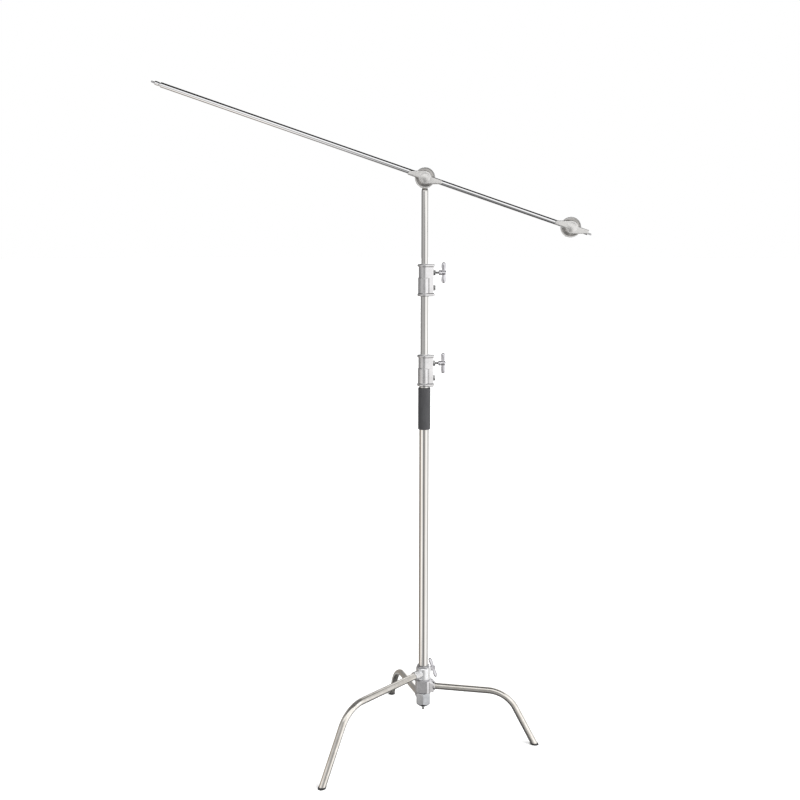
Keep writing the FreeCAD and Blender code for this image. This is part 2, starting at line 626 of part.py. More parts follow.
def head_jaw():
    """Front jaw in the head's frame: Z back, X along the arm, one wing each way."""
    depth = FRONT_DISC_Y[0] - JAW_FRONT
    slope = math.tan(TILT)
    touch = Vector(JAW_R * math.sin(TILT), JAW_R * math.cos(TILT), 0)
    low = JAW_R / math.cos(TILT) - slope * WING_END
    outline = [Vector(0, -WING_TOP, JAW_FRONT), Vector(WING_END, -WING_TOP, JAW_FRONT),
               Vector(WING_END, low, JAW_FRONT), Vector(touch.x, touch.y, JAW_FRONT),
               Vector(0, 0, JAW_FRONT)]
    wing = prism(outline, Vector(0, 0, depth))
    other = wing.copy()
    other.rotate(Vector(0, 0, 0), UP, 180)
    drum = rod(Vector(0, 0, JAW_FRONT), Vector(0, 0, FRONT_DISC_Y[0]), JAW_R)
    jaw = drum.fuse([wing, other]).removeSplitter()
    front = [e for e in jaw.Edges if e.BoundBox.ZMax < JAW_FRONT + TINY]
    jaw = jaw.makeFillet(JAW_EDGE, front)
    ball_r = (DOME_R ** 2 + DOME_H ** 2) / (2 * DOME_H)
    ball = Part.makeSphere(ball_r, Vector(0, 0, JAW_FRONT - DOME_H + ball_r))
    dome = ball.common(block((-40, 40), (-40, 40), (JAW_FRONT - DOME_H - 1, JAW_FRONT + 1)))
    jaw = jaw.fuse(dome)
    half = EYE_T / 2 + EYE_ROOM
    room = EYE_R + EYE_ROOM
    eye_back = block((-half, half), (-room - ARM_RISE, room - ARM_RISE), (ARM_Y, FRONT_DISC_Y[0]))
    return jaw.cut([across_head(WING_END + 1, PIN_R), across_head(half, room), eye_back])


def eye_bolt(end):
    """Bolt whose eye holds the arm, its shank running back through the discs."""
    eye = across_head(EYE_T / 2, EYE_R)
    shank = turned([(0, ARM_Y), (HEAD_BOLT_R, ARM_Y), (HEAD_BOLT_R, end - BOLT_EDGE),
                    (HEAD_BOLT_R - BOLT_EDGE, end), (0, end)])
    around = EYE_R + ARM_RISE + 1
    before_disc = block((-around, around), (-around, around), (ARM_Y - around, FRONT_DISC_Y[0]))
    return eye.common(before_disc).fuse(shank).cut(across_head(EYE_T, PIN_R))


def lock_screw():
    """Small knurled screw in the head's frame, pressing on the pin in the socket."""
    head = toothed_disc(LOCK_HEAD_R, LOCK_TOOTH, LOCK_TEETH, *LOCK_HEAD_Y)
    shank = upright(PIN_R + RUN + GAP, LOCK_HEAD_Y[0], LOCK_R)
    screw = head.fuse(shank)
    screw.translate(Vector(-LOCK_DROP, 0, 0))
    return screw


def make_head(prefix, centre, side):
    """A head whose jaw lies along side."""
    disc = toothed_disc(DISC_R, TOOTH, DISC_TEETH, *FRONT_DISC_Y)
    disc = disc.cut(upright(FRONT_DISC_Y[0] - 1, FRONT_DISC_Y[1] + 1, HEAD_BOLT_R + RUN))
    ring = sleeve(REAR_DISC_Y[0], REAR_DISC_Y[0] + RING_T, RING_R - GAP, RING_BORE + GAP)
    washer_y = BODY_BACK + GAP
    washer = sleeve(washer_y, washer_y + HEAD_WASHER_T, HEAD_WASHER_R, HEAD_BOLT_R + HEAD_WASHER_FIT)
    handle = knob(HEAD_KNOB_Y, HEAD_BOLT_R + RUN, BOLT_END - HEAD_KNOB_Y + BOLT_ROOM)
    return {
        prefix + "_casting": on_back(head_casting(), centre, UP),
        prefix + "_friction_ring": on_back(ring, centre, UP),
        prefix + "_washer": on_back(washer, centre, UP),
        prefix + "_lock_screw": on_back(lock_screw(), centre, UP),
        prefix + "_disc": on_back(disc, centre, side),
        prefix + "_jaw": on_back(head_jaw(), centre, side),
        prefix + "_bolt": on_back(eye_bolt(BOLT_END), centre, side),
        prefix + "_handle": on_back(handle, centre, side),
    }


# ---------------------------------------------------------------- arm
def spigot():
    """Stepped end pin along Z: plug in the arm's bore, neck, spigot and small stud."""
    start, end = SPIGOT_Z
    return turned([(0, -SPIGOT_PLUG), (ARM_BORE, -SPIGOT_PLUG), (ARM_BORE, 0), (SPIGOT_NECK_R, 0),
                   (SPIGOT_NECK_R, start), (SPIGOT_R, start), (SPIGOT_R, end - SPIGOT_EDGE),
                   (SPIGOT_R - SPIGOT_EDGE, end), (TIP_R, end), (TIP_R, TIP_END - TIP_EDGE),
                   (TIP_R - TIP_EDGE, TIP_END), (0, TIP_END)])


def make_arm():
    origin = HEAD_1 + Vector(0, ARM_Y, 0) + ACROSS * ARM_RISE
    left = origin + ALONG * ARM_LEFT
    right = origin + ALONG * ARM_RIGHT
    bar = tube(left, right, ARM_R, ARM_BORE)
    rim = 2 * math.pi * ARM_R
    ends = [e for e in bar.Edges if len(e.Vertexes) == 1 and abs(e.Length - rim) < TINY * rim]
    pins = [placed(spigot(), right, ALONG, ACROSS), placed(spigot(), left, ALONG * -1, ACROSS)]
    return {"arm_rod": bar.makeChamfer(ARM_EDGE, ends), "arm_pins": Part.makeCompound(pins)}


# ---------------------------------------------------------------- whole stand
def make_stand():
    pieces = make_column()
    pieces.update(make_collar("lower_collar", LOWER_COLLAR_Z, LOWER_R, MIDDLE_R))
    pieces.update(make_collar("upper_collar", UPPER_COLLAR_Z, MIDDLE_R, TOP_R))
    pieces.update(make_base())
    pieces.update(make_head("head_1", HEAD_1, ALONG))
    pieces.update(make_head("head_2", HEAD_2, ALONG * -1))
    pieces.update(make_arm())
    return pieces


os.makedirs("parts", exist_ok=True)
for node, solid in sorted(make_stand().items()):
    if not solid.isValid() or solid.Volume <= 0:
        raise RuntimeError("bad solid: " + node)
    solid.exportStep("parts/" + node + ".step")
    print("%-24s solids %d  volume %.0f mm3" % (node, len(solid.Solids), solid.Volume))
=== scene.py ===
import json
import math

import bmesh
import bpy
from mathutils import Matrix, Vector, noise


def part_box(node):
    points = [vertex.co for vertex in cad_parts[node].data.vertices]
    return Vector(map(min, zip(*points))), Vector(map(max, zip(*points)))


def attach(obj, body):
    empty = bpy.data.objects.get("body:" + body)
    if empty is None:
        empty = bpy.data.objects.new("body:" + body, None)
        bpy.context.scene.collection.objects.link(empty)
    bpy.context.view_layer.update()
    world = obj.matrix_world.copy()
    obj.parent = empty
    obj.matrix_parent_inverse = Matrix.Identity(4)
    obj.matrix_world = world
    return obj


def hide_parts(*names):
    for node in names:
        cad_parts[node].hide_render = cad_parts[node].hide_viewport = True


# A three-section grip stand with a grip head, a boom arm and a second head. Metres.

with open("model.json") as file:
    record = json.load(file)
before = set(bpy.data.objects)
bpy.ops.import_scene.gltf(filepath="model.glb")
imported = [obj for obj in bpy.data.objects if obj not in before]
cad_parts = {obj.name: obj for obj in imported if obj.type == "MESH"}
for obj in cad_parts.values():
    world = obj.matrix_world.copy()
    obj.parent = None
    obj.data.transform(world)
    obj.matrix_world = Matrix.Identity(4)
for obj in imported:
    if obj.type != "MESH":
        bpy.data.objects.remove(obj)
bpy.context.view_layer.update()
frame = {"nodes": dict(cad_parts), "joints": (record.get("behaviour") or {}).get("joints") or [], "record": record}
JOINTS = {joint["name"]: joint for joint in frame["joints"]}
BODY_OF = {node: body for body, nodes in frame["record"]["behaviour"]["bodies"].items() for node in nodes}
SLOT_OF = {part["node"]: part["material_slot"] for part in frame["record"]["subparts"]}

MM = 0.001
UP = Vector((0, 0, 1))
BACK = Vector((0, 1, 0))
ALONG = Vector(JOINTS["arm_slide"]["axis"]).normalized()

# camera, where the photographer stood
CAMERA_PLACE = (0.0, -3.4503, 1.703)
CAMERA_PITCH = 0.158
CAMERA_YAW = 0.0228
CAMERA_LENS = 48.45
CAMERA_SENSOR = 36.0


# ---------------------------------------------------------------- materials
class Shader:
    """A node material that is being put together."""

    def __init__(self, name):
        self.material = bpy.data.materials.new(name)
        self.material.use_nodes = True
        self.tree = self.material.node_tree
        self.bsdf = self.tree.nodes["Principled BSDF"]

    def join(self, value, socket):
        if isinstance(value, bpy.types.NodeSocket):
            self.tree.links.new(value, socket)
        else:
            socket.default_value = value

    def add(self, kind, settings=None, **inputs):
        """A node with some settings, its inputs given by name, as values or as sockets."""
        node = self.tree.nodes.new(kind)
        for key, value in (settings or {}).items():
            setattr(node, key, value)
        for key, value in inputs.items():
            self.join(value, node.inputs[key.replace("_", " ")])
        return node

    def place(self, stretch=(1, 1, 1), turn=(0, 0, 0)):
        """Object coordinates, turned and then stretched."""
        start = self.add("ShaderNodeTexCoord").outputs["Object"]
        turned = self.add("ShaderNodeMapping", Vector=start, Rotation=turn)
        return self.add("ShaderNodeMapping", Vector=turned.outputs[0], Scale=stretch).outputs[0]

    def noise(self, where, scale, detail=3.0, rough=0.5):
        node = self.add("ShaderNodeTexNoise", Vector=where, Scale=scale, Detail=detail, Roughness=rough)
        return node.outputs["Fac"]

    def cells(self, where, scale):
        return self.add("ShaderNodeTexVoronoi", Vector=where, Scale=scale).outputs["Distance"]

    def span(self, value, low, high, out_low=0.0, out_high=1.0):
        """Map low..high to out_low..out_high, held at both ends."""
        node = self.add("ShaderNodeMapRange", Value=value)
        for name, number in (("From Min", low), ("From Max", high), ("To Min", out_low), ("To Max", out_high)):
            node.inputs[name].default_value = number
        return node.outputs["Result"]

    def mix(self, share, low, high):
        """Mix two colours."""
        node = self.add("ShaderNodeMix", {"data_type": "RGBA"})
        self.join(share, node.inputs[0])
        self.join(low if isinstance(low, bpy.types.NodeSocket) else (*low, 1.0), node.inputs[6])
        self.join(high if isinstance(high, bpy.types.NodeSocket) else (*high, 1.0), node.inputs[7])
        return node.outputs[2]

    def math(self, operation, first, second=0.0):
        node = self.add("ShaderNodeMath", {"operation": operation})
        self.join(first, node.inputs[0])
        self.join(second, node.inputs[1])
        return node.outputs[0]

    def bump(self, height, strength, distance, under=None):
        node = self.add("ShaderNodeBump", Strength=strength, Distance=distance, Height=height)
        if under is not None:
            self.join(under, node.inputs["Normal"])
        return node.outputs[0]

    def finish(self, colour, roughness, normal, metallic=0.0, specular=0.5):
        self.join(colour, self.bsdf.inputs["Base Color"])
        self.join(roughness, self.bsdf.inputs["Roughness"])
        self.join(normal, self.bsdf.inputs["Normal"])
        self.bsdf.inputs["Metallic"].default_value = metallic
        self.bsdf.inputs["Specular IOR Level"].default_value = specular
        return self.material


def turn_to(direction):
    """Mapping rotation that brings a direction onto Z."""
    return tuple(Vector(direction).normalized().rotation_difference(UP).to_euler())


def drawn_metal(name, light, dark, rough, direction=UP, lines=0.02, metallic=1.0, bent=False):
    """Drawn and polished tube: lines round it, faint streaks along it, handling marks."""
    s = Shader(name)
    turn = turn_to(direction)
    rings = s.noise(s.place((1400, 1400, 1400) if bent else (40, 40, 2600), turn), 1.0, 2.0)
    streaks = s.noise(s.place((55, 55, 55) if bent else (260, 260, 5), turn), 1.0, 4.0)
    clouds = s.noise(s.place(turn=turn), 7.0, 4.0, 0.6)
    scratch = s.noise(s.place((900, 900, 40), turn), 1.0, 2.0, 0.4)
    scratch = s.span(scratch, 0.66, 0.72)
    worn = s.span(clouds, 0.35, 0.7)
    colour = s.mix(s.span(streaks, 0.3, 0.7), dark, light)
    colour = s.mix(s.math("MULTIPLY", scratch, 0.35), colour, tuple(0.75 * c for c in dark))
    roughness = s.math("ADD", s.span(worn, 0.0, 1.0, rough * 0.7, rough * 1.35),
                       s.math("MULTIPLY", scratch, 0.10))
    normal = s.bump(rings, lines, 0.00004)
    normal = s.bump(streaks, lines * 1.5, 0.00006, normal)
    return s.finish(colour, roughness, normal, metallic)


def cast_metal(name, light, dark, rough, grain=0.12, crease_shade_share=0.5, metallic=1.0):
    """Tumbled and plated casting: orange peel, pits, brighter worn edges, painted shade darkening its corners and
    creases.
    """
    s = Shader(name)
    where = s.place()
    peel = s.noise(where, 900.0, 4.0, 0.55)
    swell = s.noise(where, 130.0, 3.0)
    pits = s.span(s.cells(where, 420.0), 0.03, 0.16)
    clouds = s.noise(where, 38.0, 4.0, 0.65)
    edge = s.add("ShaderNodeNewGeometry").outputs["Pointiness"]
    worn = s.span(edge, 0.515, 0.56)
    # Concave creases found by pointiness are darkened: painted shade standing for the contact shadow in steps and
    # corners.
    crease_shade = s.span(edge, 0.485, 0.44)
    colour = s.mix(s.span(clouds, 0.35, 0.65), dark, light)
    colour = s.mix(s.math("MULTIPLY", worn, 0.5), colour, tuple(min(1.0, 1.12 * c) for c in light))
    # Painted shade: creases are darkened towards 0.3 of the dark tone.
    colour = s.mix(s.math("MULTIPLY", crease_shade, crease_shade_share), colour, tuple(0.30 * c for c in dark))
    colour = s.mix(s.span(pits, 0.0, 1.0, 0.2, 0.0), colour, tuple(0.6 * c for c in dark))
    roughness = s.math("ADD", s.span(peel, 0.3, 0.7, rough * 0.85, rough * 1.2),
                       s.span(worn, 0.0, 1.0, 0.0, -0.10))
    normal = s.bump(peel, grain, 0.00012)
    normal = s.bump(swell, 0.08, 0.0003, normal)
    normal = s.bump(pits, 0.12, 0.0001, normal)
    return s.finish(colour, roughness, normal, metallic)


def turned_metal(name, light, dark, rough):
    """Small plated hardware: machining lines, a slightly clouded plating and painted shade in its hollows."""
    s = Shader(name)
    where = s.place()
    clouds = s.noise(where, 160.0, 4.0, 0.6)
    fine = s.noise(where, 2400.0, 2.0)
    # Pointiness mask: hollows and creases go dark and flat faces go halfway, as painted shade.
    edge = s.span(s.add("ShaderNodeNewGeometry").outputs["Pointiness"], 0.47, 0.53)
    colour = s.mix(s.span(clouds, 0.35, 0.65), dark, light)
    colour = s.mix(edge, tuple(0.5 * c for c in dark), colour)
    roughness = s.span(clouds, 0.3, 0.7, rough * 0.8, rough * 1.3)
    return s.finish(colour, roughness, s.bump(fine, 0.12, 0.00008), 1.0)


def faced_metal(name, centre, light, dark, rough):
    """Disc faced on a lathe: fine grooves round an axis along Y through centre."""
    s = Shader(name)
    away = s.add("ShaderNodeVectorMath", {"operation": "SUBTRACT"}).outputs[0]
    s.join(s.place(), away.node.inputs[0])
    away.node.inputs[1].default_value = centre
    flat = s.add("ShaderNodeVectorMath", {"operation": "MULTIPLY"}).outputs[0]
    s.join(away, flat.node.inputs[0])
    flat.node.inputs[1].default_value = (1, 0, 1)
    length = s.add("ShaderNodeVectorMath", {"operation": "LENGTH"})
    s.join(flat, length.inputs[0])
    radius = s.add("ShaderNodeCombineXYZ", X=length.outputs["Value"]).outputs[0]
    grooves = s.noise(radius, 1500.0, 2.0)
    clouds = s.noise(s.place(), 90.0, 4.0, 0.6)
    colour = s.mix(s.span(clouds, 0.35, 0.65), dark, light)
    colour = s.mix(s.span(grooves, 0.30, 0.62, 0.35, 0.0), colour, tuple(0.6 * c for c in dark))
    roughness = s.span(clouds, 0.3, 0.7, rough * 0.8, rough * 1.3)
    return s.finish(colour, roughness, s.bump(grooves, 0.15, 0.0001), 1.0)


def foam_rubber():
    """Dark closed-cell grip: fine pores, a rubbed sheen where it is held."""
    s = Shader("grip_foam")
    where = s.place()
    pores = s.cells(where, 950.0)
    fine = s.noise(where, 2600.0, 3.0)
    patches = s.noise(s.place((1, 1, 0.4)), 42.0, 4.0, 0.6)
    dust = s.span(s.noise(where, 300.0, 4.0, 0.7), 0.58, 0.74)
    colour = s.mix(s.span(patches, 0.3, 0.7), (0.036, 0.036, 0.038), (0.050, 0.050, 0.052))
    colour = s.mix(s.math("MULTIPLY", dust, 0.2), colour, (0.13, 0.127, 0.123))
    roughness = s.span(patches, 0.3, 0.7, 0.62, 0.82)
    normal = s.bump(pores, 0.45, 0.00025)
    normal = s.bump(fine, 0.25, 0.00008, normal)
    return s.finish(colour, roughness, normal, 0.0, 0.12)


def moulded_plastic(name, light, dark, rough, scuffs):
    """Moulded polymer: fine spark texture, pale scuffs."""
    s = Shader(name)
    where = s.place()
    spark = s.noise(where, 1800.0, 3.0)
    clouds = s.noise(where, 55.0, 4.0, 0.6)
    marks = s.span(s.noise(s.place((500, 500, 90)), 1.0, 3.0, 0.6), 0.62, 0.72)
    colour = s.mix(s.span(clouds, 0.3, 0.7), dark, light)
    colour = s.mix(s.math("MULTIPLY", marks, scuffs), colour, (0.30, 0.29, 0.28))
    roughness = s.span(clouds, 0.3, 0.7, rough * 0.85, min(1.0, rough * 1.2))
    return s.finish(colour, roughness, s.bump(spark, 0.20, 0.0001), 0.0)


LOOKS = {
    "polished_steel": drawn_metal("steel_tube", (0.86, 0.85, 0.83), (0.74, 0.72, 0.70), 0.11),
    "arm_chrome": drawn_metal("arm_chrome", (0.88, 0.88, 0.89), (0.80, 0.80, 0.81), 0.05, ALONG, 0.005),
    "leg_steel": drawn_metal("leg_steel", (0.84, 0.81, 0.77), (0.72, 0.69, 0.64), 0.13, UP, 0.03, 0.92, True),
    "cast_metal": cast_metal("cast_silver", (0.80, 0.79, 0.80), (0.70, 0.69, 0.70), 0.21, 0.10, 0.9),
    "head_metal": cast_metal("cast_head", (0.78, 0.77, 0.755), (0.70, 0.69, 0.68), 0.38, 0.08, 0.12),
    "knob_metal": cast_metal("cast_knob", (0.80, 0.79, 0.82), (0.70, 0.69, 0.72), 0.27, 0.10, 0.5),
    "zinc_hardware": turned_metal("zinc_plate", (0.72, 0.72, 0.71), (0.55, 0.55, 0.55), 0.24),
    "grip_rubber": foam_rubber(),
    "foot_plastic": moulded_plastic("foot_plastic", (0.022, 0.022, 0.023), (0.014, 0.014, 0.014), 0.6, 0.08),
    "grey_nylon": moulded_plastic("grey_nylon", (0.46, 0.46, 0.47), (0.38, 0.38, 0.39), 0.42, 0.15),
    "brass_shoe": turned_metal("brass", (0.80, 0.62, 0.32), (0.62, 0.45, 0.20), 0.28),
    "slide_bush_metal": turned_metal("bush_metal", (0.78, 0.78, 0.80), (0.62, 0.62, 0.64), 0.22),
}
# Collar copy with full painted crease shade, darkening the steps of its raised panel like a contact shadow.
COLLAR = cast_metal("cast_collar", (0.80, 0.79, 0.795), (0.71, 0.70, 0.705), 0.21, 0.08, 1.0, 0.96)
NODE_LOOKS = {
    "lower_collar": COLLAR,
    "upper_collar": COLLAR,
    # Lighter, less metallic copy of the casting for the top hub: painted highlight standing for its bright
    # reflections.
    "big_leg_hub": cast_metal("top_hub_cast_painted_light", (0.86, 0.86, 0.87), (0.78, 0.78, 0.79), 0.24, 0.10, 1.0, 0.87),
    # Darker copy of the casting for the low hub: painted shade.
    "small_leg_hub": cast_metal("low_hub_cast_painted_shade", (0.62, 0.63, 0.65), (0.52, 0.53, 0.55), 0.22, 0.10, 0.9),
}


def look_of(node):
    return NODE_LOOKS.get(node, LOOKS[SLOT_OF[node]])


for node, thing in frame["nodes"].items():
    thing.data.materials.clear()
    thing.data.materials.append(look_of(node))


# ---------------------------------------------------------------- mesh helpers
def basis(origin, z_axis, x_hint):
    """Matrix that takes a piece's own Z and X to the given directions."""
    z = Vector(z_axis).normalized()
    x = (Vector(x_hint) - z * Vector(x_hint).dot(z)).normalized()
    y = z.cross(x)
    matrix = Matrix((x, y, z)).transposed().to_4x4()
    matrix.translation = Vector(origin)
    return matrix


def keep_piece(name, bm, nodes, sharp=32.0):
    """Make a mesh object that stands for some CAD nodes and rides on their body."""
    bmesh.ops.remove_doubles(bm, verts=bm.verts, dist=1e-7)
    bmesh.ops.recalc_face_normals(bm, faces=bm.faces)
    mesh = bpy.data.meshes.new(name)
    bm.to_mesh(mesh)
    bm.free()
    mesh.shade_smooth()
    mesh.set_sharp_from_angle(angle=math.radians(sharp))
    piece = bpy.data.objects.new(name, mesh)
    bpy.context.scene.collection.objects.link(piece)
    mesh.materials.append(look_of(nodes[0]))
    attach(piece, BODY_OF[nodes[0]])
    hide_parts(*nodes)
    return piece


def add_turned(bm, profile, place, segments=96, relief=None):
    """Add a closed solid of revolution from (radius, height) points, which start and end on the axis
    or make a closed ring. relief(angle, height, radius) lowers the surface."""
    ring_solid = profile[0][0] > 0
    rows = []
    for radius, height in profile:
        if radius <= 0:
            rows.append([bm.verts.new(place @ Vector((0, 0, height)))])
            continue
        row = []
        for i in range(segments):
            angle = 2 * math.pi * i / segments
            r = radius - (relief(angle, height, radius) if relief else 0.0)
            row.append(bm.verts.new(place @ Vector((r * math.cos(angle), r * math.sin(angle), height))))
        rows.append(row)
    pairs = list(zip(rows, rows[1:]))
    if ring_solid:
        pairs.append((rows[-1], rows[0]))
    for low, high in pairs:
        for i in range(segments):
            j = (i + 1) % segments
            if len(low) == 1:
                bm.faces.new((low[0], high[i], high[j]))
            elif len(high) == 1:
                bm.faces.new((low[i], high[0], low[j]))
            else:
                bm.faces.new((low[i], high[i], high[j], low[j]))


def steps(low, high, count):
    return [low + (high - low) * i / count for i in range(count + 1)]


def rounded_rod(z0, z1, radius, edge):
    """Profile of a solid rod with rounded ends."""
    points = [(0, z0)]
    points += [(radius - edge + edge * math.sin(a), z0 + edge - edge * math.cos(a))
               for a in steps(0, math.pi / 2, 4)]
    points += [(radius - edge + edge * math.cos(a), z1 - edge + edge * math.sin(a))
               for a in steps(0, math.pi / 2, 4)]
    return points + [(0, z1)]


def thread_relief(pitch, depth):
    """Triangular thread: how far the surface lies under the crest."""
    def relief(angle, height, _radius):
        phase = (height / pitch - angle / (2 * math.pi)) % 1.0
        return depth * abs(2 * phase - 1)
    return relief


def add_stud(bm, z0, z1, radius, place, pitch=1.5 * MM, bare=0.0):
    """A threaded stud with a chamfered tip at z1 and an optional bare length at z0."""
    depth = 0.55 * pitch
    relief = thread_relief(pitch, depth)

    def cut(angle, height, r):
        if height < z0 + bare:
            return 0.0
        return min(relief(angle, height, r), max(0.0, r - (radius - depth)))

    count = max(4, int((z1 - z0) / (pitch / 6)))
    chamfer = 1.0 * MM
    profile = [(0, z0)]
    for z in steps(z0, z1, count):
        inset = max(0.0, chamfer - (z - z0), chamfer - (z1 - z))
        profile.append((radius - inset, z))
    profile.append((0, z1))
    add_turned(bm, profile, place, 36, cut)


def soft_copy(node, voxel, passes, share=1.0):
    """The node's shape with cast, rounded edges: remeshed, smoothed and thinned."""
    source = frame["nodes"][node]
    bm = bmesh.new()
    bm.from_mesh(source.data)
    bmesh.ops.remove_doubles(bm, verts=bm.verts, dist=1e-6)
    mesh = bpy.data.meshes.new(node + "_work")
    bm.to_mesh(mesh)
    bm.free()
    work = bpy.data.objects.new(node + "_work", mesh)
    bpy.context.scene.collection.objects.link(work)
    remesh = work.modifiers.new("remesh", "REMESH")
    remesh.mode = "VOXEL"
    remesh.voxel_size = voxel
    smooth = work.modifiers.new("smooth", "SMOOTH")
    smooth.factor = 0.5
    smooth.iterations = passes
    if share < 1.0:
        thin = work.modifiers.new("thin", "DECIMATE")
        thin.ratio = share
    bpy.context.view_layer.update()
    result = bmesh.new()
    result.from_object(work, bpy.context.evaluated_depsgraph_get())
    bpy.data.objects.remove(work)
    bpy.data.meshes.remove(mesh)
    low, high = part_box(node)
    for vert in result.verts:
        vert.co = [min(max(c, a), b) for c, a, b in zip(vert.co, low, high)]
    return result


def cast_piece(node, voxel=0.7 * MM, passes=5, share=0.5):
    return keep_piece(node + "_cast", soft_copy(node, voxel, passes, share), [node], 50.0)


# ---------------------------------------------------------------- column
def tube_piece(node, edge=0.5 * MM, segments=160):
    """A tube with rolled rims, as long and as wide as its node."""
    low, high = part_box(node)
    radius = (high.x - low.x) / 2
    inner = radius - 1.5 * MM
    profile = [(inner, low.z + edge), (inner + edge, low.z), (radius - edge, low.z)]
    profile += [(radius, low.z + edge), (radius, high.z - edge)]
    profile += [(radius - edge, high.z), (inner + edge, high.z), (inner, high.z - edge)]
    bm = bmesh.new()
    add_turned(bm, profile, Matrix(), segments)
    return keep_piece(node + "_drawn", bm, [node])


def grip_piece():
    """Foam sleeve, softly rounded at its ends and a little uneven from use."""
    low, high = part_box("grip_sleeve")
    radius = (high.x - low.x) / 2
    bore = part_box("lower_tube")[1].x
    edge = 2.2 * MM
    profile = [(bore, low.z)]
    profile += [(radius - edge + edge * math.sin(a), low.z + edge - edge * math.cos(a))
                for a in steps(0, math.pi / 2, 5)]
    profile += [(radius, z) for z in steps(low.z + edge, high.z - edge, 60)[1:-1]]
    profile += [(radius - edge + edge * math.cos(a), high.z - edge + edge * math.sin(a))
                for a in steps(0, math.pi / 2, 5)]
    profile.append((bore, high.z))

    def dents(angle, height, r):
        if r < bore + 0.5 * MM:
            return 0.0
        spot = Vector((math.cos(angle) * 1.4, math.sin(angle) * 1.4, height * 45))
        return 0.35 * MM * max(0.0, noise.noise(spot))

    bm = bmesh.new()
    add_turned(bm, profile, Matrix(), 128, dents)
    return keep_piece("grip_foam", bm, ["grip_sleeve"])


def top_pin_piece():
    """Pin at the top: shoulder in the tube's mouth, neck groove for the lock screw."""
    low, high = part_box("top_pin")
    shoulder_r = (high.x - low.x) / 2
    tube_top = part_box("top_tube")[1].z
    bore = shoulder_r - 1.5 * MM
    pin = 8.0 * MM
    step = JOINTS["head_1_swivel"]["pos_m"][2] - 11.3 * MM
    groove = JOINTS["head_1_swivel"]["pos_m"][2]
    profile = [(0, low.z), (bore, low.z), (bore, tube_top), (shoulder_r, tube_top)]
    profile += [(shoulder_r, tube_top + 2 * MM), (pin + 0.4 * MM, step - 1.4 * MM), (pin, step - 1 * MM)]
    profile += [(pin, groove - 3 * MM), (pin - 1.2 * MM, groove - 2 * MM), (pin - 1.2 * MM, groove + 2 * MM)]
    profile += [(pin, groove + 3 * MM), (pin, high.z - 1.2 * MM), (pin - 1.2 * MM, high.z), (0, high.z)]
    bm = bmesh.new()
    add_turned(bm, profile, Matrix(), 96)
    return keep_piece("top_pin_turned", bm, ["top_pin"])


def make_column():
    for node in ("lower_tube", "middle_tube", "top_tube"):
        tube_piece(node)
    grip_piece()
    top_pin_piece()


# ---------------------------------------------------------------- collars and base
def axis_place(node, axis, x_hint):
    """Frame on a node's box centre whose Z runs along axis, and the node's reach along it."""
    low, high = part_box(node)
    centre = (low + high) / 2
    axis = Vector(axis).normalized()
    co = [(v.co - centre).dot(axis) for v in frame["nodes"][node].data.vertices]
    return basis(centre, axis, x_hint), min(co), max(co)


def stud_piece(node, axis, radius=4.0 * MM, bare=0.0):
    place, low, high = axis_place(node, axis, UP if abs(Vector(axis).z) < 0.9 else BACK)
    bm = bmesh.new()
    add_stud(bm, low, high, radius, place, bare=bare)
    return keep_piece(node + "_threaded", bm, [node])


def collar_piece(node):
    """Collar casting, creased where the barrel round the seated tube meets the clamp boss."""
    bm = soft_copy(node, 0.65 * MM, 1)
    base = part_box(node)[0].z
    foot, top = base + 10.0 * MM, base + 57.0 * MM
    crease = 12.6 * MM
    half_width = 2.6 * MM
    depth = 1.5 * MM
    inner = 12.0 * MM
    for vert in bm.verts:
        share = 1 - abs(vert.co.x - crease) / half_width
        if share > 0 and foot < vert.co.z < top and abs(vert.co.y) > inner:
            vert.co.y -= math.copysign(depth * share, vert.co.y)
    return keep_piece(node + "_cast", bm, [node], 50.0)


def make_collar(prefix):
    collar_piece(prefix)
    cast_piece(prefix + "_handle", 0.5 * MM, 6, 0.6)
    for part in ("_nut", "_bolt"):
        cast_piece(prefix + part, 0.35 * MM, 3, 0.5)
    stud_piece(prefix + "_stud", JOINTS[prefix + "_knob_turn"]["axis"])


